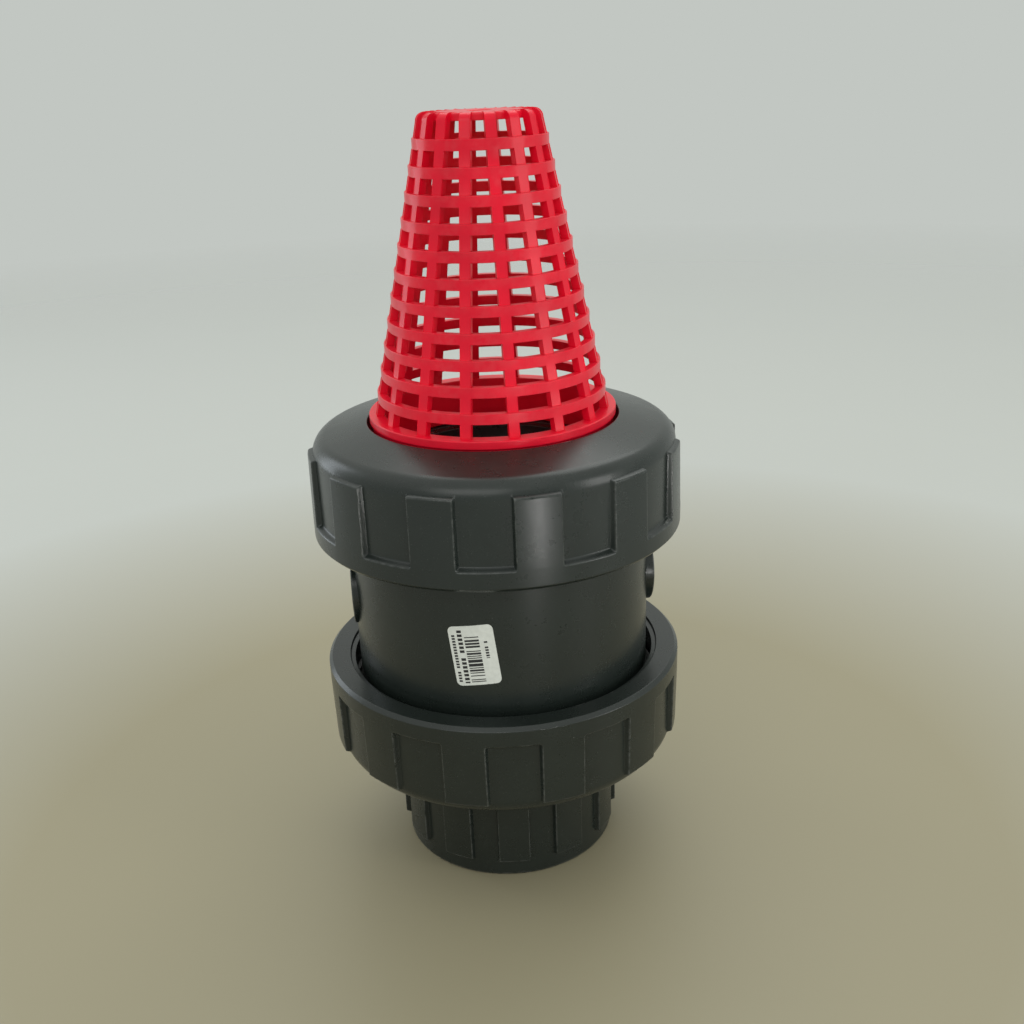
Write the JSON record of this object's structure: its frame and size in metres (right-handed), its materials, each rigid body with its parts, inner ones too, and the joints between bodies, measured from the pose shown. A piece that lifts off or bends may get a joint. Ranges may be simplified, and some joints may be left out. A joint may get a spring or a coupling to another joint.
{
  "type": "foot valve",
  "caption": "Plastic foot valve for a pump's suction pipe: threaded pipe end, union nuts, spring-loaded poppet in a cylindrical body, and a tapered strainer basket.",
  "frame": {"origin": "centre of the pipe end's bottom face", "axes": "+Z along the valve's axis from the threaded pipe end to the strainer's closed end; -Y out through the front of the body, where the label is"},
  "size_m": [0.18, 0.18, 0.3654],
  "materials": {
    "grey_plastic": "moulded dark green-grey PVC, satin",
    "red_plastic": "moulded bright red polypropylene, satin",
    "label_paper": "printed paper label",
    "pale_nylon": "natural nylon",
    "black_rubber": "moulded rubber",
    "stainless": "stainless steel"
  },
  "bodies": {
    "end_connector": {"end_connector": "grey_plastic", "connector_o_ring": "black_rubber"},
    "lower_nut": {"lower_union_nut": "grey_plastic"},
    "valve_body": {"valve_body": "grey_plastic", "barcode_label": "label_paper", "seat_ring": "grey_plastic", "body_o_ring": "black_rubber", "guide_spider": "grey_plastic", "guide_bush": "pale_nylon", "closing_spring": "stainless"},
    "poppet": {"poppet": "grey_plastic", "poppet_seal": "black_rubber", "seal_retainer": "stainless", "poppet_stem": "stainless", "stem_o_ring": "black_rubber", "retainer_washer": "stainless", "retainer_nut": "stainless", "stem_washer": "stainless", "stem_lock_nut": "stainless"},
    "strainer": {"strainer_basket": "red_plastic"},
    "upper_nut": {"upper_union_nut": "grey_plastic"}
  },
  "joints": [
    {"name": "lower_nut_spin", "type": "hinge", "parent": "end_connector", "child": "lower_nut", "pos_m": [0, 0, 0.09], "axis": [0, 0, -1], "range_deg": [0, 1800]},
    {"name": "body_lift", "type": "slide", "parent": "end_connector", "child": "valve_body", "axis": [0, 0, 1], "range_m": [0, 0.0251]},
    {"name": "poppet_slide", "type": "slide", "parent": "valve_body", "child": "poppet", "axis": [0, 0, -1], "range_m": [0, 0.018], "stiffness_N_per_m": 250, "springref_m": -0.036, "deforming": ["closing_spring"]},
    {"name": "strainer_lift", "type": "slide", "parent": "valve_body", "child": "strainer", "axis": [0, 0, 1], "range_m": [0, 0.0251]},
    {"name": "upper_nut_spin", "type": "hinge", "parent": "strainer", "child": "upper_nut", "pos_m": [0, 0, 0.2], "axis": [0, 0, 1], "range_deg": [0, 1800]}
  ],
  "couplings": [
    {"joint": "body_lift", "follows": "lower_nut_spin", "m_per_rad": 0.00079577},
    {"joint": "strainer_lift", "follows": "upper_nut_spin", "m_per_rad": 0.00079577}
  ]
}
